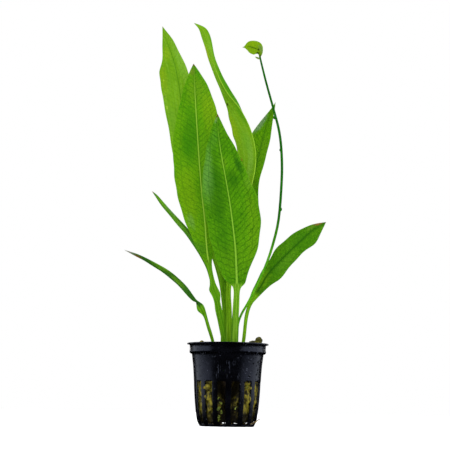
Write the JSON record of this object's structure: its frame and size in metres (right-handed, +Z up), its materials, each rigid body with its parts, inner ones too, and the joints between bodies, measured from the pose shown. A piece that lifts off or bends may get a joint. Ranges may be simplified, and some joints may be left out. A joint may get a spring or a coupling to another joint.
{
  "type": "potted amazon sword plant",
  "caption": "Aquarium sword plant with broad strap-like leaves and a thin flower stalk, rooted in stone wool in a small slotted net pot.",
  "frame": {"origin": "centre of the pot's flat base, on the surface it stands on", "axes": "+Z up, -Y towards the front, +X to the right as seen from the front"},
  "size_m": [0.1329, 0.0625, 0.2808],
  "materials": {
    "pot_plastic": "smooth black plastic, wet and slightly glossy",
    "stone_wool": "damp olive stone wool, fibrous and matt",
    "root": "dark brown fibrous root",
    "stalk_green": "smooth dark green stalk",
    "plantlet_green": "thin yellow-green leaf",
    "leaf_green": "smooth mid-green leaf with a fine net of veins"
  },
  "bodies": {
    "root": {"net_pot": "pot_plastic", "wool_left": "stone_wool", "wool_right": "stone_wool", "wool_tuft_right": "stone_wool", "rootstock": "root", "root_low_right": "root", "flower_stalk": "stalk_green", "stalk_bract": "stalk_green", "plantlet_leaf": "plantlet_green", "leaf_broad_front": "leaf_green", "leaf_broad_left": "leaf_green", "leaf_tall_back": "leaf_green", "leaf_twisted_tall": "leaf_green", "leaf_right_back": "leaf_green", "leaf_hidden_middle": "leaf_green", "leaf_narrow_left": "leaf_green", "leaf_drooping_left": "leaf_green", "leaf_low_right": "leaf_green"}
  },
  "joints": []
}
